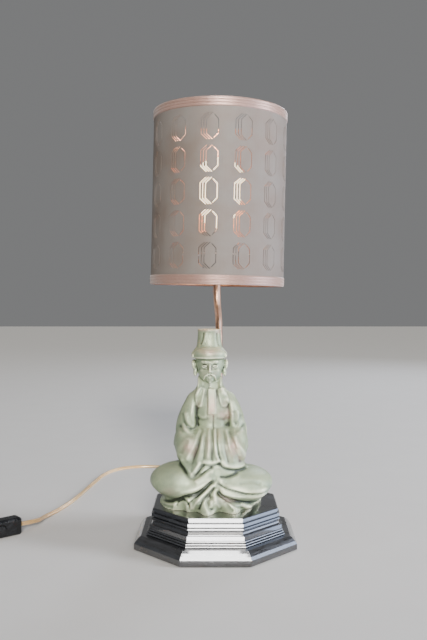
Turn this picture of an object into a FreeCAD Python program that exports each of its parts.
"""Figural table lamp: a seated robed figure on a stepped octagonal plinth, a bent stem behind
it, a drum shade, and a flat twin flex with an in-line rocker switch and a two-pin plug.

Millimetres. +X is the lamp's left-to-right as seen from the front, -Y is the front, +Z is up.
The origin is the middle of the plinth's footprint, on the table.
"""
import FreeCAD, Part
import math
import os

V = FreeCAD.Vector
UP = V(0, 0, 1)
ORIGIN = V(0, 0, 0)

# ---------------------------------------------------------------- driving dimensions
# plinth
PLINTH_APOTHEM = 88.5        # half the width across flats
PLINTH_TOP = 44.0            # height of the top face above the table
FELT = 1.2                   # felt pad thickness
FELT_INSET = 2.5
POCKET_R = 20.0              # round pocket bored from below, under the stem
POCKET_TOP = 32.0
GROOVE_W = 7.2               # cord groove from the pocket to the back edge
GROOVE_H = 7.4

# figure
FIGURE_X = -4.7              # the figure sits a little left of the plinth's middle
HEAD_X = -6.3
SCREW_SPREAD = 26.0          # half the distance between the two fixing screws
SCREW_Y = -6.0
SCREW_R = 2.4
SCREW_END = 62.0
COUNTERBORE_R = 6.5
COUNTERBORE_TOP = 24.0

# stem
STEM_R = 4.0
STEM_BORE = 3.0
STEM_X = 4.4
STEM_Y = 44.0
STEM_FOOT = 24.0             # lower end of the tube, inside the pocket
STEM_BEND_LOW = 246.0        # corner where the tube leaves the vertical
HEAD_SEAT_X = 1.4            # corner where it turns up again, under the lampholder
STEM_BEND_HIGH = 276.0
STEM_BEND_R = 38.0
LEAN = 1.2                   # degrees that lampholder and shade lean to the right
LAMP_HEAD_RISE = 26.0        # from the upper corner to the lampholder's datum

# lampholder, bulb and shade, on their own leaning axis; heights count from the datum
HOLDER_R = 19.5
HUB_R = 26.0
HUB_BORE = 20.5
HUB_Z = 20.4
HUB_T = 1.6
RUNNING_GAP = 0.4
BULB_R = 30.0
BULB_CENTRE = 101.0
BULB_NECK_R = 13.4
BULB_NECK_Z = 47.0
GLASS = 0.9
SHADE_R = 75.0
SHADE_LOW = -14.0
SHADE_TALL = 195.0
LAMINATE = 0.7
COLUMNS = 13                 # motifs round the drum
FIRST_COLUMN = -98.6         # direction of one of them, in degrees from +X
ROW_PITCH = 33.5
ROWS = 5
ROW_MIDDLE = 83.0            # height of the middle row above the lampholder's datum
MOTIF_HALF = 13.8            # half the height of a motif
WIDE_CUT = 3.6               # the three nested lines on its left, cut as one
FINE_CUT = 1.2               # the single line on its right
TRIM_TALL = 10.0
TRIM_T = 0.75
TRIM_LIP = 0.9               # the trim turned over the laminate's end
WIRE_R = 1.75
ARM_R = 1.6

# flex, switch and plug
CORD_R = 2.6                 # half the width of the flat twin flex
CORD_REST = 2.6              # height of its centre where it lies on the table
CORD_EXIT_Z = FELT + 3.6     # height of its centre where it leaves the plinth
BUSH_NOSE = 22.0             # length of the tapered strain relief behind the plinth
SWITCH_L = 60.0
SWITCH_D = 17.0              # front to back
SWITCH_H = 20.0
SWITCH_WALL = 1.6
SWITCH_GRIP = 4.2            # from either end to the clamp where the flex ends
SWITCH_CORNER = V(-234.3, 30.2, 0)   # the end and back corner that the lamp side flex enters
SWITCH_YAW = 220.0
ROCKER_L = 19.6
ROCKER_H = 9.6
ROCKER_TILT = 8.0            # degrees either side of level
PIVOT_R = 0.9
CASE_SCREWS = (9.5, SWITCH_L - 9.5)  # places along the switch
CASE_SCREW_Z = 4.3
CASE_SCREW_R = 1.2
CASE_HEAD_R = 2.2
BOSS_R = 2.6
COIL_LEAD = 40.0             # straight flex between the switch and the coil's outer turn
COIL_IN_R = 19.5             # centre line radius of the innermost turn
COIL_PITCH = 5.8             # from turn to turn and from layer to layer
COIL_TURNS = 5.5             # two layers, half of the turns in each
COIL_HALF_CLIMB = 0.25       # half of the share of a turn that climbs to the upper layer
PLUG_REAR = V(-310.0, 78.0, 7.0)     # end of the plug's sleeve that takes the flex
PLUG_YAW = 92.0
PIN_R = 2.0
PIN_L = 19.0
PIN_SPREAD = 9.3             # half the distance between the pins' roots

parts = {}


# ---------------------------------------------------------------- helpers
def revolve(outline):
    """Solid of revolution about Z from a closed outline of (radius, height) corners."""
    wire = Part.makePolygon([V(r, 0, z) for r, z in outline] + [V(outline[0][0], 0, outline[0][1])])
    return Part.Face(wire).revolve(ORIGIN, UP, 360)


def ring(inner, outer, low, high):
    """Tube about Z between two heights."""
    return revolve([(inner, low), (outer, low), (outer, high), (inner, high)])


def disc(radius, low, high, x=0.0, y=0.0):
    """Upright cylinder between two heights."""
    return Part.makeCylinder(radius, high - low, V(x, y, low))


def box(x0, x1, y0, y1, z0, z1):
    """Block between two planes on each axis."""
    return Part.makeBox(x1 - x0, y1 - y0, z1 - z0, V(x0, y0, z0))


def fuse(shapes):
    """One solid of several that touch or overlap."""
    whole = shapes[0].multiFuse(shapes[1:]) if len(shapes) > 1 else shapes[0]
    return whole.removeSplitter()


def rounded_path(points, radii=None):
    """Straight runs joined by tangent arcs. Returns the wire, its length and the arc radii."""
    edges, used, start = [], [], points[0]
    for k in range(1, len(points) - 1):
        before, corner, after = points[k - 1], points[k], points[k + 1]
        back = (before - corner).normalize()
        on = (after - corner).normalize()
        half_turn = (math.pi - back.getAngle(on)) / 2
        if radii:
            radius = radii[k - 1]
        else:
            shorter = min((before - corner).Length, (after - corner).Length)
            radius = 0.45 * shorter / math.tan(half_turn)
        reach = radius * math.tan(half_turn)
        enter, leave = corner + back * reach, corner + on * reach
        inward = (back + on).normalize()
        centre = corner + inward * (radius / math.cos(half_turn))
        edges.append(Part.LineSegment(start, enter).toShape())
        edges.append(Part.Arc(enter, centre - inward * radius, leave).toShape())
        start = leave
        used.append(radius)
    edges.append(Part.LineSegment(start, points[-1]).toShape())
    wire = Part.Wire(edges)
    return wire, wire.Length, used


def round_rod(wire, radius):
    """Round bar along a wire."""
    edge = wire.Edges[0]
    start = edge.valueAt(edge.FirstParameter)
    heading = edge.tangentAt(edge.FirstParameter)
    profile = Part.Wire(Part.makeCircle(radius, start, heading))
    return wire.makePipeShell([profile], True, False)


def flex(name, points):
    """A free stretch of flex as a plain tube; prints its length, its radii and a volume check."""
    wire, length, radii = rounded_path(points)
    rod = round_rod(wire, CORD_R)
    share = rod.Volume / (math.pi * CORD_R ** 2 * length)
    print(f"{name}: length {length:.0f} mm, tightest {min(radii):.1f} mm, volume share {share:.4f}")
    parts[name] = rod
    return length


# ---------------------------------------------------------------- plinth
def octagonal(outline):
    """Solid with mitred corners on an octagonal plan, from (half width, height) edges.

    The outline is half of the section, from the middle of the underside round to the middle of
    the top. Four bars of the whole section, turned 45 degrees apart, meet in the octagon.
    """
    bars = []
    reach = PLINTH_APOTHEM * 1.2
    right = [V(a, -reach, z) for a, z in outline]
    left = [V(-a, -reach, z) for a, z in reversed(outline)]
    face = Part.Face(Part.makePolygon(right + left + [right[0]]))
    bar = face.extrude(V(0, 2 * reach, 0))
    for k in range(4):
        turned = bar.copy()
        turned.rotate(ORIGIN, UP, 45 * k)
        bars.append(turned)
    whole = bars[0]
    for other in bars[1:]:
        whole = whole.common(other)
    return whole.removeSplitter()


def arc_steps(centre, radius, start, end, steps):
    """Corners along a moulding's arc, in degrees, as flats too narrow to see."""
    a0, a1 = math.radians(start), math.radians(end)
    turns = [a0 + (a1 - a0) * k / steps for k in range(steps + 1)]
    return [(centre[0] + radius * math.cos(t), centre[1] + radius * math.sin(t)) for t in turns]


def plinth_outline():
    """Half section of the plinth's mouldings, as (half width, height) from the foot up."""
    foot_top, shoulder = 7.2, 15.2
    slope_r, reed_r = 22.0, 1.15
    section = [(PLINTH_APOTHEM, FELT), (PLINTH_APOTHEM, foot_top)]
    section += arc_steps((68.98, -3.13), slope_r, 28, 56, 3)       # broad, slightly rounded slope
    section.append((79.0, shoulder))
    for k in range(3):                                             # three small reeds, stepping in
        middle = (74.6 - reed_r * k, shoulder + reed_r * (1 + 2 * k))
        section += arc_steps(middle, reed_r, -80, 80, 4)
    section += [(72.2, 22.2), (72.2, 26.4), (69.9, 26.7)]          # flat band
    section += arc_steps((71.6, 29.4), 3.0, 245, 115, 4)           # cove
    section += [(69.9, 32.0), (69.9, 33.7), (67.5, 34.1), (67.5, 35.2)]       # fillet and quirk
    section += [(70.1, 35.6), (70.1, 38.6), (67.4, 39.2), (67.4, 40.6)]       # upper band and quirk
    section += [(68.5, 41.0), (68.5, 43.3), (67.8, PLINTH_TOP)]               # top edge
    return section


def make_plinth():
    """Moulded octagon with its bores and its cord groove, and the felt pad under it."""
    play = 0.2
    plinth = octagonal(plinth_outline())
    plinth = plinth.cut(disc(POCKET_R, 0, POCKET_TOP, STEM_X, STEM_Y))
    plinth = plinth.cut(disc(STEM_R + play, POCKET_TOP - 1, PLINTH_TOP + 1, STEM_X, STEM_Y))
    half = GROOVE_W / 2
    plinth = plinth.cut(box(STEM_X - half, STEM_X + half, STEM_Y, PLINTH_APOTHEM + 1, 0, FELT + GROOVE_H))
    for x in screw_places():
        plinth = plinth.cut(disc(COUNTERBORE_R, 0, COUNTERBORE_TOP, x, SCREW_Y))
        plinth = plinth.cut(disc(SCREW_R + play + 0.1, 0, PLINTH_TOP + 1, x, SCREW_Y))
    parts["plinth"] = plinth

    pad_half = PLINTH_APOTHEM - FELT_INSET
    parts["felt_pad"] = octagonal([(pad_half, 0), (pad_half, FELT)])


def screw_places():
    """Where the figure's two fixing screws stand, across the lamp."""
    return (FIGURE_X - SCREW_SPREAD, FIGURE_X + SCREW_SPREAD)


def make_fixings():
    """Two pan-head screws and washers that pull the figure down on the plinth."""
    washer_t, head_t, head_r = 1.2, 3.6, 4.6
    slot_half, slot_deep = 0.6, 1.2
    seat = COUNTERBORE_TOP - washer_t
    head_low = seat - head_t
    screws, washers = [], []
    for x in screw_places():
        washer = ring(SCREW_R + 0.2, COUNTERBORE_R - 0.4, seat, COUNTERBORE_TOP)
        washer.translate(V(x, SCREW_Y, 0))
        washers.append(washer)
        head = disc(head_r, head_low, seat, x, SCREW_Y)
        shank = disc(SCREW_R, seat - 0.5, SCREW_END, x, SCREW_Y)
        slot = box(x - head_r, x + head_r, SCREW_Y - slot_half, SCREW_Y + slot_half, head_low - 1,
                   head_low + slot_deep)
        screws.append(fuse([head, shank]).cut(slot))
    parts["figure_screws"] = Part.makeCompound(screws)
    parts["screw_washers"] = Part.makeCompound(washers)


# ---------------------------------------------------------------- figure
NECK_CUT = 173.0             # height where the head's outlines take over from the robe's

# Round forms as (x, y, z, half width, half depth, half height, degrees that the right end is
# turned down), and upright forms as rows of (z, x, y, half width, half depth). X counts from the
# figure's or the head's own middle.
LAP_FORMS = [
    (0, 4, 70, 52, 30, 24, 0),                               # seat and hips
    (-31.5, -14, 73, 37, 37.5, 18.8, -1),                    # thighs and knees
    (32, -14, 70, 36.5, 37.5, 18.2, 0),
    (-18, -34, 73, 32, 18, 12.5, -17),                       # crossed shins
    (29, -34, 67, 34, 18, 12, 4),
    (2, -30, 76, 22, 18, 13, 0),                             # lap under the sleeves
]
ARM_FORMS = [
    (16.5, 3.5, 155, 13, 13.5, 14, 0),                       # shoulder
    (25.5, 2, 133, 13, 16.5, 35, -13),                       # upper arm
    (29, -10, 112, 12.5, 22, 19, 0),                         # elbow
    (25, -24, 108, 13, 17, 17, -25),                         # forearm
]
SKIRT = [(44, 0, -5, 52, 52), (47, 0, -5, 51.5, 51.5), (50, 0, -7, 51, 49), (54, 0, -8, 49.5, 46.5),
         (60, 0, -9, 46.5, 43), (68, 0, -9, 39, 37), (76, 0, -6, 30, 29)]
TRUNK = [(60, 0, 4, 40, 29), (72, 0, 5, 38, 28), (84, 0, 6, 31, 25), (98, 0, 5, 27, 22),
         (112, 0, 4, 24.5, 21.5), (126, 0, 3, 22.5, 20), (138, 0, 2.5, 22, 19), (148, 0, 2.5, 23, 18.5),
         (156, -0.3, 3, 24, 17), (163, -0.6, 3.5, 21.5, 15.5), (169, -0.8, 4, 18, 14.5),
         (174, -1.0, 4, 15.5, 13.5)]
SLEEVES = [(80, 0.5, -22, 34, 24), (88, 1, -22, 36, 25), (97, 1.5, -21, 35.5, 26),
           (106, 2, -19.5, 31, 26), (115, 2.2, -18, 27, 26), (119, 2.4, -17.5, 25.5, 25.5),
           (122.5, 2.6, -17, 24, 24.5), (125, 2.8, -17, 22, 22.5), (126.2, 3, -17, 18.5, 19)]
# how far the hem reaches from the robe's middle at angles counted from +X
HEM = [(0, 56), (12, 59), (30, 58), (60, 44), (90, 38), (120, 46), (150, 61), (170, 60), (192, 57),
       (207, 56.5), (214, 55), (222, 52), (228, 44), (236, 47.5), (241, 48), (246, 40), (253, 44.5),
       (260, 53), (266, 56), (271, 52), (277, 42), (284, 38), (290, 47), (295, 54), (300, 55),
       (307, 52), (314, 45), (321, 46), (329, 50.5), (338, 49), (347, 50), (360, 56)]
HEM_MEAN = 52.0
HEM_HIGH = 14.0              # height over which the hem's waves fade out
BODY_MIDDLE = [(44, -5), (70, -5), (90, -3), (110, -1), (130, 2), (173, 4)]      # (z, y)
BODY_LEVELS = [44, 46, 48, 51, 54, 57] + [60 + 3.0 * k for k in range(38)] + [NECK_CUT]

HEAD_FORMS = [
    (0, 1, 200.5, 15.8, 16.4, 16.5, 0),                      # skull
    (0, -3.5, 190, 13.2, 12.6, 10.8, 0),                     # jaw
    (0, -15.4, 192.5, 2.6, 3.6, 4.5, 0),                     # nose
    (-16.9, 2, 196.5, 3.2, 5.0, 8.0, 8),                     # ears
    (16.9, 2, 196.5, 3.2, 5.0, 8.0, -8),
]
NECK_AND_CAP = [(173, 0.3, 3.5, 14.5, 12.5), (178, 0.3, 3.5, 12.5, 11.5), (184, 0, 3, 10.5, 11),
                (190, 0, 1, 8, 8), (203.5, 0, -0.5, 15, 16.4), (205, 0, -0.8, 16.4, 18.2),
                (207, -0.7, -1.2, 18, 19.4), (209.5, -0.7, -1.2, 19.2, 19.8),
                (212.2, -0.7, -1, 19.4, 19.6), (214.6, -0.7, -0.5, 18.6, 18.6),
                (216.4, -0.7, 0, 16.6, 17), (218.5, -0.7, 0.4, 14.6, 15.2), (222, -0.7, 0.8, 13.9, 14),
                (228, -0.7, 1.2, 13.4, 12.8), (234, -0.7, 1.5, 13, 12.2), (239, -0.7, 1.6, 13.2, 12.3)]
HEAD_MIDDLE = [(173, 2), (190, 0), (239, 0)]
HEAD_LEVELS = [NECK_CUT + 2.5 * k for k in range(1, 13)] + [row[0] for row in NECK_AND_CAP[5:]]
OUTLINE_POINTS = 72
BLEND = 12                   # the higher, the sharper the valleys between forms


def between_rows(rows, z):
    """The values of a table at one height, on a straight line between its rows."""
    for low, high in zip(rows, rows[1:]):
        if z <= high[0]:
            share = (z - low[0]) / (high[0] - low[0])
            return [a + (b - a) * share for a, b in zip(low[1:], high[1:])]


def oval_of(form, z):
    """The oval (x, y, half width, half depth) in which a height cuts a round form, or None."""
    x, y, at, wide, deep, tall, turn = form
    sin, cos = math.sin(math.radians(turn)), math.cos(math.radians(turn))
    rise = z - at
    square = (cos / wide) ** 2 + (sin / tall) ** 2
    linear = rise * sin * cos * (1 / tall ** 2 - 1 / wide ** 2)
    left = linear ** 2 / square + 1 - rise ** 2 * ((sin / wide) ** 2 + (cos / tall) ** 2)
    if left <= 0:
        return None
    return [x - linear / square, y, math.sqrt(left / square), deep * math.sqrt(left)]


def reach_to(oval, cx, cy, turn):
    """How far an oval's edge lies from a point in one direction; 0 if it isn't met."""
    x, y, rx, ry = oval
    u, v = math.cos(turn) / rx, math.sin(turn) / ry
    p, q = (cx - x) / rx, (cy - y) / ry
    a, b, c = u * u + v * v, u * p + v * q, p * p + q * q - 1
    inside = b * b - a * c
    return max(0.0, (math.sqrt(inside) - b) / a) if inside > 0 else 0.0


def hem_swing(turn, z):
    """Share by which the skirt grows at an angle, strongest at the hem."""
    fade = max(0.0, 1 - (z - PLINTH_TOP) / HEM_HIGH)
    return 1 + (between_rows(HEM, math.degrees(turn))[0] / HEM_MEAN - 1) * fade ** 0.8


def outline_at(z, middle, forms, uprights, centres):
    """Closed outline round every form that is cut at this height, softly joined."""
    ovals = [between_rows(rows, z) for rows in uprights if rows[0][0] <= z <= rows[-1][0]]
    ovals += [oval for oval in (oval_of(form, z) for form in forms) if oval]
    skirt = SKIRT in uprights and z <= SKIRT[-1][0]
    cy = between_rows(centres, z)[0]
    points = []
    for k in range(OUTLINE_POINTS):
        turn = 2 * math.pi * k / OUTLINE_POINTS
        reaches = [reach_to(oval, 0, cy, turn) for oval in ovals]
        if skirt:
            reaches[0] *= hem_swing(turn, z)
        reach = sum(one ** BLEND for one in reaches) ** (1 / BLEND)
        points.append(V(middle + reach * math.cos(turn), cy + reach * math.sin(turn), z))
    steps = [k / OUTLINE_POINTS for k in range(OUTLINE_POINTS + 1)]
    curve = Part.BSplineCurve()
    curve.interpolate(Points=points, PeriodicFlag=True, Parameters=steps)
    return Part.Wire(curve.toShape())


def make_figure():
    """One casting: crossed legs under a robe, hands in the sleeves, head with a tall cap."""
    mirrored = [(-x, y, z, wide, deep, tall, -turn) for x, y, z, wide, deep, tall, turn in ARM_FORMS]
    forms = LAP_FORMS + ARM_FORMS + mirrored
    stack = [outline_at(z, FIGURE_X, forms, (SKIRT, TRUNK, SLEEVES), BODY_MIDDLE) for z in BODY_LEVELS]
    stack += [outline_at(z, HEAD_X, HEAD_FORMS, (NECK_AND_CAP,), HEAD_MIDDLE) for z in HEAD_LEVELS]
    figure = Part.makeLoft(stack, True, True)
    for place in screw_places():
        figure = figure.cut(disc(SCREW_R, PLINTH_TOP - 1, SCREW_END, place, SCREW_Y))
    parts["figure"] = figure


# ---------------------------------------------------------------- stem
def lean_axis():
    """Direction of the shade's axis."""
    turn = math.radians(LEAN)
    return V(math.sin(turn), 0, math.cos(turn))


def stem_points(low_z, top_reach):
    """Corners of the stem's centre line, from low_z up to top_reach above the upper corner."""
    upper = V(HEAD_SEAT_X, 0, STEM_BEND_HIGH)
    return [V(STEM_X, STEM_Y, low_z), V(STEM_X, STEM_Y, STEM_BEND_LOW), upper,
            upper + lean_axis() * top_reach]


def make_stem():
    """The bent tube, the rosette it passes on the plinth, and its washer and nut in the pocket."""
    into_cap, play = 4.0, 0.1
    path = rounded_path(stem_points(STEM_FOOT, LAMP_HEAD_RISE + into_cap), [STEM_BEND_R] * 2)[0]
    parts["stem_tube"] = round_rod(path, STEM_R).cut(round_rod(path, STEM_BORE))

    bore = STEM_R + play
    flange_r, flange_t, collar_r, collar_tall = 7.2, 1.2, 5.2, 4.4
    rosette = revolve([(bore, PLINTH_TOP), (flange_r, PLINTH_TOP), (flange_r, PLINTH_TOP + flange_t),
                       (flange_r - 1, PLINTH_TOP + 2.0), (collar_r, PLINTH_TOP + collar_tall),
                       (bore, PLINTH_TOP + collar_tall)])
    washer_r, washer_t, nut_r, nut_tall = 9.5, 1.4, 7.5, 4.5
    nut_top = POCKET_TOP - washer_t
    washer = ring(STEM_R + 2 * play, washer_r, nut_top, POCKET_TOP)
    turns = [math.radians(60 * k) for k in range(7)]
    corners = [V(nut_r * math.cos(turn), nut_r * math.sin(turn), nut_top - nut_tall) for turn in turns]
    nut = Part.Face(Part.makePolygon(corners)).extrude(UP * nut_tall).cut(disc(STEM_R, 0, POCKET_TOP))
    for name, piece in (("stem_rosette", rosette), ("stem_washer", washer), ("stem_lock_nut", nut)):
        piece.translate(V(STEM_X, STEM_Y, 0))
        parts[name] = piece


# ---------------------------------------------------------------- lampholder, bulb and shade
def place_on_head(shape):
    """Move a piece from the lamp head's own axis to its leaning place."""
    datum = V(HEAD_SEAT_X, 0, STEM_BEND_HIGH) + lean_axis() * LAMP_HEAD_RISE
    placed = shape.copy()
    placed.Placement = FreeCAD.Placement(datum, FreeCAD.Rotation(V(0, 1, 0), LEAN))
    return placed


def make_lampholder():
    """Cap, body, contact block, contacts and shade ring, as (radius, height) sections."""
    cap = revolve([(5.1, 0), (9, 0), (12, 2), (16.5, 6), (19.2, 11), (20.2, 16), (18.8, 16),
                   (18.8, 12.4), (16.8, 12.4), (16.2, 11.5), (14, 7.5), (10.5, 4.4), (5.1, 4.4)])
    body = revolve([(17.1, 12.5), (18.7, 12.5), (18.7, 16.1), (22.5, 16.1), (22.5, 20.0),
                    (HOLDER_R, 20.0), (HOLDER_R, 44), (18.9, 45.5), (16.2, 45.5), (16.2, 21.5),
                    (17.1, 21.5)])

    block_low, block_top, cord_hole_r = 12.6, 21.4, 2.9
    pocket_half, pocket_in, pocket_out = 4.4, 8.2, 13.2
    screw_off, screw_r, screw_head_r = 10.7, 1.5, 2.4
    block = fuse([disc(16.5, block_low, block_top), ring(14.6, 16.0, 21.0, 24.0)])
    block = block.cut(disc(cord_hole_r, 0, 30))
    screws = []
    for side in (-1, 1):
        near, far = sorted((side * pocket_in, side * pocket_out))
        block = block.cut(box(-pocket_half, pocket_half, near, far, 12, 17))
        block = block.cut(disc(screw_r, 16, 19.2, 0, side * screw_off))
        shank = disc(screw_r, 13.0, 19.0, 0, side * screw_off)
        head = disc(screw_head_r, 12.7, 14.1, 0, side * screw_off)
        screws.append(fuse([shank, head]))
    shell = ring(13.45, 14.3, 24.2, 42.0)
    spring_half, spring_t, fold = 2.5, 0.5, 4.2
    contact = fuse([box(-spring_half, spring_half, fold - 0.8, 11.5, 21.45, 21.45 + spring_t),
                    box(-spring_half, spring_half, -1.5, fold, 22.7, 22.7 + spring_t),
                    box(-spring_half, spring_half, fold - 0.8, fold, 21.45, 22.7 + spring_t)])
    nipple = ring(STEM_R, 5.0, -7.0, 9.0)

    flange_r, grip_r, seat = HUB_R + 0.5, 23.4, HUB_Z + HUB_T + RUNNING_GAP
    clamp = revolve([(HOLDER_R, seat), (flange_r, seat), (flange_r, HUB_Z + 3.6), (grip_r, HUB_Z + 4.4),
                     (grip_r, HUB_Z + 11.4), (HOLDER_R, HUB_Z + 11.4)])
    made = (("holder_cap", cap), ("holder_body", body), ("contact_block", block), ("screw_shell", shell),
            ("centre_contact", contact), ("terminal_screws", Part.makeCompound(screws)),
            ("stem_nipple", nipple), ("shade_ring", clamp))
    for name, piece in made:
        parts[name] = place_on_head(piece)


def bulb_outline(radius, neck_r):
    """Right half of a bulb: neck, straight flank and ball, from the neck's end to the top."""
    neck_top, steps = BULB_NECK_Z + 5, 14
    away = math.hypot(neck_r, BULB_CENTRE - neck_top)
    to_neck = math.atan2(neck_top - BULB_CENTRE, neck_r)
    touch = to_neck + math.acos(radius / away)
    turns = [touch + (math.pi / 2 - touch) * k / steps for k in range(steps)]
    ball = [(radius * math.cos(turn), BULB_CENTRE + radius * math.sin(turn)) for turn in turns]
    return [(neck_r, BULB_NECK_Z), (neck_r, neck_top)] + ball + [(0.0, BULB_CENTRE + radius)]


def make_bulb():
    """Opal globe, screw cap, insulator and end contact, as (radius, height) sections."""
    outer = bulb_outline(BULB_R, BULB_NECK_R)
    inner = bulb_outline(BULB_R - GLASS, BULB_NECK_R - GLASS)
    glass = revolve(outer + list(reversed(inner)))
    cap = revolve([(0, 26.0), (6.0, 26.0), (12.0, 28.0), (13.1, 29.0), (13.1, 46.9), (14.2, 46.95),
                   (14.2, 50), (13.45, 50), (13.45, 46.95), (12.4, 46.9), (12.4, 29.6), (11.7, 28.8),
                   (5.8, 26.8), (0, 26.8)])
    insulator = revolve([(0, 24.6), (4.6, 24.6), (8.0, 25.95), (0, 25.95)])
    eyelet = disc(4.2, 23.3, 24.55)
    for name, piece in (("bulb_glass", glass), ("bulb_cap", cap), ("bulb_insulator", insulator),
                        ("bulb_contact", eyelet)):
        parts[name] = place_on_head(piece)


def trim_outline(edge, inward):
    """Section of a tape trim; edge is its rim's height, inward points from there along the drum."""
    face = SHADE_R + TRIM_T
    ridge, rib_pitch, rib_flat, chamfer = 0.35, 3.1, 2.1, 0.5
    section = [(SHADE_R, edge + inward * TRIM_TALL)]
    for k in range(3):                                       # three raised lengthwise ribs
        start = TRIM_TALL - 0.4 - rib_pitch * k
        end = start - rib_flat
        section += [(face - ridge, edge + inward * start), (face, edge + inward * (start - chamfer)),
                    (face, edge + inward * end), (face - ridge, edge + inward * (end - chamfer))]
    inner, lip = SHADE_R - LAMINATE, edge + inward * TRIM_LIP
    return section + [(face - 0.8, edge), (inner, edge), (inner, lip), (SHADE_R, lip)]


def cut_tool(line, width):
    """Prism through the drum's wall along a bent line of (across, up) points, facing +X."""
    half, inside, deep = width / 2, 6, 8
    corners = [V(0, x - half, z) for x, z in line] + [V(0, x + half, z) for x, z in reversed(line)]
    face = Part.Face(Part.makePolygon(corners + corners[:1]))
    face.translate(V(SHADE_R - inside, 0, 0))
    return face.extrude(V(deep, 0, 0))


def pierced_drum(low, high):
    """The drum's wall with rows of upright octagons, each cut as two bent slots."""
    left = [(0.1, -MOTIF_HALF), (-6.2, -8), (-6.2, 8), (0.1, MOTIF_HALF)]
    right = [(4.6, -12.2), (9.2, -7.4), (9.2, 7.4), (4.6, 12.2)]
    motif = Part.makeCompound([cut_tool(left, WIDE_CUT), cut_tool(right, FINE_CUT)])
    tools = []
    for column in range(COLUMNS):
        for row in range(ROWS):
            tool = motif.copy()
            tool.translate(V(0, 0, ROW_MIDDLE + ROW_PITCH * (row - (ROWS - 1) / 2)))
            tool.rotate(ORIGIN, UP, FIRST_COLUMN + 360 * column / COLUMNS)
            tools += tool.Solids
    return ring(SHADE_R - LAMINATE, SHADE_R, low, high).cut(tools)


def make_shade():
    """Drum, trims, wire rings and the three-armed carrier that hangs them on the lampholder."""
    top = SHADE_LOW + SHADE_TALL
    wire_ring_r = SHADE_R - LAMINATE - WIRE_R
    ring_in = TRIM_LIP + WIRE_R
    low_ring_z = SHADE_LOW + ring_in
    pieces = {
        "shade_drum": pierced_drum(SHADE_LOW + TRIM_LIP, top - TRIM_LIP),
        "top_trim": revolve(trim_outline(top, -1)),
        "bottom_trim": revolve(trim_outline(SHADE_LOW, 1)),
        "top_wire_ring": Part.makeTorus(wire_ring_r, WIRE_R, V(0, 0, top - ring_in)),
        "bottom_wire_ring": Part.makeTorus(wire_ring_r, WIRE_R, V(0, 0, low_ring_z)),
    }

    shoulder_r, foot_r, foot_rise = 58.0, 68.0, 4.0
    inner_end = V(HUB_R - 1.5, 0, HUB_Z + 0.2 - ARM_R + HUB_T / 2)
    tip = V(wire_ring_r - WIRE_R + 0.2, 0, low_ring_z)
    corners = [inner_end, V(shoulder_r, 0, inner_end.z), V(foot_r, 0, low_ring_z + foot_rise), tip]
    arm_path = rounded_path(corners, [10, 4])[0]
    arms = []
    for k in range(3):
        arm = round_rod(arm_path, ARM_R)
        arm.rotate(ORIGIN, UP, 90 + 120 * k)
        arms.append(arm)
    hub = ring(HUB_BORE, HUB_R, HUB_Z, HUB_Z + HUB_T)
    pieces["shade_carrier"] = fuse([hub] + arms)
    for name, piece in pieces.items():
        parts[name] = place_on_head(piece)


# ---------------------------------------------------------------- flex inside the lamp
def cord_exit():
    """Where the flex passes the plinth's back face."""
    return V(STEM_X, PLINTH_APOTHEM, CORD_EXIT_Z)


def make_inner_flex():
    """Flex from the plinth's back face along the groove and up the stem to the lampholder."""
    foot_bend, past_datum = 16.0, 12.0
    up_to_terminals = LAMP_HEAD_RISE + past_datum
    points = [cord_exit(), V(STEM_X, STEM_Y, CORD_EXIT_Z)] + stem_points(STEM_FOOT, up_to_terminals)[1:]
    path, length, _ = rounded_path(points, [foot_bend, STEM_BEND_R, STEM_BEND_R])
    parts["flex_in_lamp"] = round_rod(path, CORD_R)
    print(f"flex inside the lamp: {length:.0f} mm")


def make_cord_bush():
    """Bush that plugs the groove's mouth, with a tapered nose that the flex runs through."""
    root_r, tip_r, bore_r, plug_l = 4.5, 3.5, CORD_R + 0.15, 9.0
    outward = V(0, 1, 0)
    half = GROOVE_W / 2
    nose = Part.makeCone(root_r, tip_r, BUSH_NOSE, cord_exit(), outward)
    plug = box(STEM_X - half, STEM_X + half, PLINTH_APOTHEM - plug_l, PLINTH_APOTHEM + 0.1,
               FELT, CORD_EXIT_Z + half)
    bore = Part.makeCylinder(bore_r, BUSH_NOSE + plug_l + 2, cord_exit() - outward * (plug_l + 1), outward)
    parts["cord_bush"] = fuse([nose, plug]).cut(bore)


# ---------------------------------------------------------------- in-line switch
def switch_placement():
    """From the switch's own axes to its place on the table."""
    return FreeCAD.Placement(SWITCH_CORNER, FreeCAD.Rotation(UP, SWITCH_YAW))


def place_on_switch(shape):
    """Move a piece from the switch's own axes to its place on the table."""
    placed = shape.copy()
    placed.Placement = switch_placement().multiply(shape.Placement)
    return placed


def switch_point(along, across, high):
    """World place of a point given along the switch, from its back face forwards, and in height."""
    return switch_placement().multVec(V(along, across, high))


def rounded_block(length, depth, height, radius, inset=0.0):
    """Block with its edges along the switch and at its two ends rounded."""
    block = box(inset, length - inset, inset, depth - inset, inset, height - inset)
    return block.makeFillet(radius, block.Edges)


def round_ended(half_l, half_h, near, far):
    """Prism along the switch's depth with a long outline and half-round ends, about its axis."""
    straight = half_l - half_h
    whole = box(-straight, straight, near, far, -half_h, half_h)
    ends = [Part.makeCylinder(half_h, far - near, V(x, near, 0), V(0, 1, 0)) for x in (-straight, straight)]
    return fuse([whole] + ends).removeSplitter()


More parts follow.
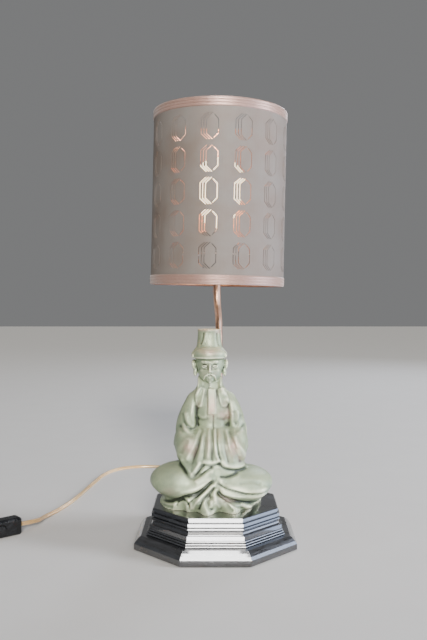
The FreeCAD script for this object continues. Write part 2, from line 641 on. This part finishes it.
def switch_cases(window, pin, bosses):
    """The two case halves: hollow, rounded, with cord holes, bosses and screw bores."""
    split, mid_z, big = SWITCH_D / 2, SWITCH_H / 2, 4 * SWITCH_L
    outer_round, inner_round = 3.4, 1.9
    case = rounded_block(SWITCH_L, SWITCH_D, SWITCH_H, outer_round)
    case = case.cut(rounded_block(SWITCH_L, SWITCH_D, SWITCH_H, inner_round, SWITCH_WALL))
    case = case.cut(Part.makeCylinder(CORD_R + 0.5, SWITCH_L + 4, V(-2, split, mid_z), V(1, 0, 0)))
    back = case.common(box(-big, big, -big, split, -big, big))
    front = case.common(box(-big, big, split, big, -big, big)).cut(window)
    back_posts = [along_depth(BOSS_R, u, 1.0, split) for u in CASE_SCREWS]
    front_posts = [along_depth(BOSS_R, u, split, SWITCH_D - 1.0) for u in CASE_SCREWS]
    back = fuse([back] + back_posts)
    front = fuse([front] + bosses + front_posts).cut(pin)
    for u in CASE_SCREWS:
        bore = along_depth(CASE_SCREW_R + 0.05, u, 1.0, 14.0)
        back = back.cut(bore).cut(along_depth(CASE_HEAD_R + 0.1, u, -0.1, 1.7))
        front = front.cut(bore)
    parts["switch_case_back"] = place_on_switch(back)
    parts["switch_case_front"] = place_on_switch(front)


def along_depth(radius, u, near, far):
    """Cylinder at a case screw's place, along the switch's depth."""
    return Part.makeCylinder(radius, far - near, V(u, near, CASE_SCREW_Z), V(0, 1, 0))


def case_screws():
    """The two slotted screws that hold the case halves together."""
    screws = []
    for u in CASE_SCREWS:
        shank = along_depth(CASE_SCREW_R, u, 1.6, 13.6)
        head = along_depth(CASE_HEAD_R, u, 0.3, 1.7)
        slot = box(u - 2.3, u + 2.3, 0, 0.8, CASE_SCREW_Z - 0.35, CASE_SCREW_Z + 0.35)
        screws.append(fuse([shank, head]).cut(slot))
    return Part.makeCompound(screws)


def make_switch():
    """In-line switch: two case halves, a rocker on a pin, terminals, a broken core and cord grips."""
    mid, mid_z, split = SWITCH_L / 2, SWITCH_H / 2, SWITCH_D / 2
    window = round_ended(ROCKER_L / 2 + 0.9, ROCKER_H / 2 + 0.4, split, SWITCH_D + 2)
    window.translate(V(mid, 0, mid_z))
    pivot = V(mid, SWITCH_D - 3.6, mid_z)
    pin_half = ROCKER_H / 2 + 2.8
    pin = Part.makeCylinder(PIVOT_R, 2 * pin_half, pivot - UP * pin_half, UP)
    lug_half, lug_t = 2.0, 2.2
    lugs = [box(mid - lug_half, mid + lug_half, pivot.y - 1.6, SWITCH_D - 1, z, z + lug_t)
            for z in (2.4, SWITCH_H - 2.4 - lug_t)]
    switch_cases(window, pin, lugs)
    parts["switch_screws"] = place_on_switch(case_screws())
    parts["rocker_pin"] = place_on_switch(pin)
    parts["switch_rocker"] = place_on_switch(rocker_solid(pivot))

    block_half, terminal_in, terminal_z = 3.0, 15.0, 13.4
    blocks, clamps = [], []
    for u in (terminal_in, SWITCH_L - terminal_in):
        block = box(u - block_half, u + block_half, 2.4, 9.0, 10.8, 16.2)
        wire_hole = Part.makeCylinder(1.6, 8, V(u - 4, 5.6, terminal_z), V(1, 0, 0))
        blocks.append(block.cut(wire_hole))
        clamps.append(Part.makeCylinder(1.3, 3.4, V(u, 9.0, terminal_z), V(0, 1, 0)))
    blades = [box(start, end, 6.0, 6.6, 11.0, 15.8) for start, end in ((19.5, 30.5), (34.0, 40.5))]
    grip_l, grip_half = 3.6, 3.4
    grip_in = SWITCH_GRIP + 0.4
    grips = [box(u, u + grip_l, split - grip_half, split + grip_half, 7.2, 17.0)
             for u in (grip_in, SWITCH_L - grip_in - grip_l)]
    for name, group in (("terminal_blocks", blocks), ("terminal_clamps", clamps),
                        ("contact_blades", blades), ("switch_cord_grips", grips)):
        parts[name] = place_on_switch(Part.makeCompound(group))


def rocker_solid(pivot):
    """Rocker with two thumb faces that meet in a shallow valley, tipped to one end stop."""
    half_l, half_h = ROCKER_L / 2, ROCKER_H / 2
    foot, crest, valley, edge = -3.6, SWITCH_D + 2.4 - pivot.y, 1.7, 1.2
    corners = [V(-half_l, foot, 0), V(half_l, foot, 0), V(half_l, crest - 0.3, 0),
               V(half_l - edge, crest, 0), V(0, crest - valley, 0),
               V(-half_l + edge, crest, 0), V(-half_l, crest - 0.3, 0)]
    face = Part.Face(Part.makePolygon(corners + corners[:1]))
    rocker = face.extrude(V(0, 0, ROCKER_H))
    rocker.translate(V(0, 0, -half_h))
    rocker = rocker.common(round_ended(half_l, half_h, -SWITCH_D, SWITCH_D))
    rocker = rocker.cut(Part.makeCylinder(PIVOT_R + 0.05, ROCKER_H + 2, V(0, 0, -half_h - 1), UP))
    rocker.rotate(ORIGIN, UP, -ROCKER_TILT)
    rocker.translate(pivot)
    return rocker


# ---------------------------------------------------------------- free flex, coil and plug
def lamp_side_route():
    """Centre line of the flex from the plinth to the switch, laid out by hand on the table."""
    entry = switch_point(SWITCH_GRIP, SWITCH_D / 2, SWITCH_H / 2)
    outside = switch_point(-24.0, SWITCH_D / 2, SWITCH_H / 2 - 1.0)
    z = CORD_REST
    laid = [
        V(4.4, 110.5, CORD_EXIT_Z), V(4.6, 133, 4.2), V(5.5, 163, 2.8), V(9, 203, z), V(12, 248, z),
        V(4, 292, z), V(-24, 327, z), V(-66, 345, z), V(-112, 352, z), V(-151, 338, z), V(-171, 300, z),
        V(-178, 248, z), V(-184, 195, z), V(-191, 143, z), V(-202, 100, z + 0.2), V(-210.5, 68, 5.0),
    ]
    return [cord_exit()] + laid + [outside, entry]


def coil_frame(turns):
    """Radius, height and their rates at a number of turns into the coil.

    The flex spirals in on the table, climbs a layer where it reverses, and spirals out on top.
    """
    past = turns - COIL_TURNS / 2
    away = abs(past)
    rate = COIL_PITCH if past > 0 else -COIL_PITCH
    if away >= COIL_HALF_CLIMB:
        climb = COIL_PITCH if past > 0 else 0.0
        return COIL_IN_R + COIL_PITCH * away, rate, CORD_REST + climb, 0.0
    reach = COIL_PITCH * (away * away / COIL_HALF_CLIMB + COIL_HALF_CLIMB) / 2
    share = (past + COIL_HALF_CLIMB) / (2 * COIL_HALF_CLIMB)
    climb = COIL_PITCH * (3 * share ** 2 - 2 * share ** 3)
    climb_rate = COIL_PITCH * 3 * share * (1 - share) / COIL_HALF_CLIMB
    return COIL_IN_R + reach, rate * away / COIL_HALF_CLIMB, CORD_REST + climb, climb_rate


def coil_centre():
    """The coil lies so that the flex runs straight from the switch into its outer turn."""
    outer = coil_frame(0)[0]
    return switch_point(SWITCH_L + COIL_LEAD, SWITCH_D / 2 - outer, 0)


def coil_point(turns):
    """Place and heading at a number of turns into the coil, which winds clockwise from above."""
    radius, radius_rate, height, height_rate = coil_frame(turns)
    angle = math.radians(SWITCH_YAW + 90) - 2 * math.pi * turns
    out = V(math.cos(angle), math.sin(angle), 0)
    side = V(math.sin(angle), -math.cos(angle), 0)
    place = coil_centre() + out * radius + UP * height
    heading = side * (2 * math.pi * radius) + out * radius_rate + UP * height_rate
    return place, heading.normalize()


def biarc(p0, t0, p1, t1):
    """Two arcs that join p0 and p1 with the given headings and a common one where they meet."""
    chord = p1 - p0
    lean = chord.dot(t0 + t1)
    square = 2 * (1 - t0.dot(t1))
    reach = (math.sqrt(lean * lean + square * chord.dot(chord)) - lean) / square
    joint = (p0 + t0 * reach + p1 - t1 * reach) * 0.5
    first = joint - p0
    joint_heading = (first * (2 * first.dot(t0) / first.dot(first)) - t0).normalize()
    return [arc_from(p0, t0, joint), arc_from(joint, joint_heading, p1)]


def arc_from(start, heading, end):
    """Arc that leaves its start with a heading and reaches its end."""
    across = end - start
    side = across - heading * across.dot(heading)
    side.normalize()
    radius = across.dot(across) / (2 * across.dot(side))
    centre = start + side * radius
    outward = ((start + end) * 0.5 - centre).normalize()
    return Part.Arc(start, centre + outward * radius, end).toShape()


def make_coil():
    """The put-away length, wound in two layers; prints its least gap to itself."""
    quarters = int(round(COIL_TURNS * 4))
    stations = [coil_point(k / 4) for k in range(quarters + 1)]
    edges = []
    for here, there in zip(stations, stations[1:]):
        edges += biarc(*here, *there)
    wire = Part.Wire(edges)
    parts["cord_coil"] = round_rod(wire, CORD_R)
    per_turn = 45
    line = [coil_point(k / per_turn)[0] for k in range(int(per_turn * COIL_TURNS) + 1)]
    gap = min((line[i] - line[j]).Length for i in range(len(line))
              for j in range(i + per_turn // 2, len(line))) - 2 * CORD_R
    print(f"coil: {COIL_TURNS} turns, {wire.Length:.0f} mm, least gap to itself {gap:.2f} mm")
    return wire.Length


def switch_side_route():
    """From the switch's far end to the coil's outer turn."""
    exit_point = switch_point(SWITCH_L - SWITCH_GRIP, SWITCH_D / 2, SWITCH_H / 2)
    outside = switch_point(SWITCH_L + 10.0, SWITCH_D / 2, SWITCH_H / 2 - 1.0)
    joined, heading = coil_point(0)
    return [exit_point, outside, joined - heading * 14.0, joined]


def plug_side_route():
    """From the coil's upper outer turn down to the table and into the plug's sleeve."""
    left, heading = coil_point(COIL_TURNS)
    turn = math.radians(PLUG_YAW)
    plug_heading = V(math.cos(turn), math.sin(turn), 0)
    return [left, left + heading * 22.0, left + heading * 42.0 + V(-1.5, 2, -5.0),
            PLUG_REAR - plug_heading * 20.0 + V(0, 0, -2.5), PLUG_REAR]


def make_plug():
    """Two-pin plug: tapered sleeve, flat body and round pins, made along +X and then laid down."""
    sleeve_l, neck, flare, body_l, body_w, body_h = 22.0, 7.0, 7.0, 32.0, 26.0, 14.0
    along = V(1, 0, 0)
    root = sleeve_l + body_l
    sleeve = Part.makeCone(3.4, 5.0, sleeve_l, ORIGIN, along)
    side_y, low = body_w / 2, -body_h / 2
    half = [(sleeve_l, neck), (sleeve_l + flare, side_y), (root - 4, side_y), (root, side_y - 1)]
    outline = [V(x, y, low) for x, y in half] + [V(x, -y, low) for x, y in reversed(half)]
    body = Part.Face(Part.makePolygon(outline + [outline[0]])).extrude(UP * body_h)
    body = body.makeFillet(2.2, [edge for edge in body.Edges if edge.BoundBox.ZLength < 0.01])
    core_r, core_l, tip_l = PIN_R - 0.4, 6.0, 1.0
    pins = []
    for side in (-1, 1):
        place = V(root, side * PIN_SPREAD, 0)
        core = Part.makeCylinder(core_r, core_l + 1, place - along * core_l, along)
        pin = Part.makeCylinder(PIN_R, PIN_L - tip_l, place, along)
        tip = Part.makeCone(PIN_R, PIN_R - 0.8, tip_l, place + along * (PIN_L - tip_l), along)
        pins.append(fuse([core, pin, tip]))
        body = body.cut(Part.makeCylinder(core_r, core_l, place - along * core_l, along))
    turn = FreeCAD.Placement(PLUG_REAR, FreeCAD.Rotation(UP, PLUG_YAW))
    made = (("plug_sleeve", sleeve), ("plug_body", body), ("plug_pins", Part.makeCompound(pins)))
    for name, piece in made:
        placed = piece.copy()
        placed.Placement = turn
        parts[name] = placed


# ---------------------------------------------------------------- make and write every piece
make_plinth()
make_fixings()
make_figure()
make_stem()
make_lampholder()
make_bulb()
make_shade()
make_inner_flex()
make_cord_bush()
make_switch()
total_flex = flex("flex_to_switch", lamp_side_route())
total_flex += flex("flex_to_coil", switch_side_route())
total_flex += make_coil()
total_flex += flex("flex_to_plug", plug_side_route())
make_plug()
print(f"free flex in all: {total_flex:.0f} mm")

os.makedirs("parts", exist_ok=True)
for name, shape in parts.items():
    if not shape.isValid() or shape.Volume <= 0:
        print("NOT VALID:", name)
    shape.exportStep(f"parts/{name}.step")
print(len(parts), "nodes")
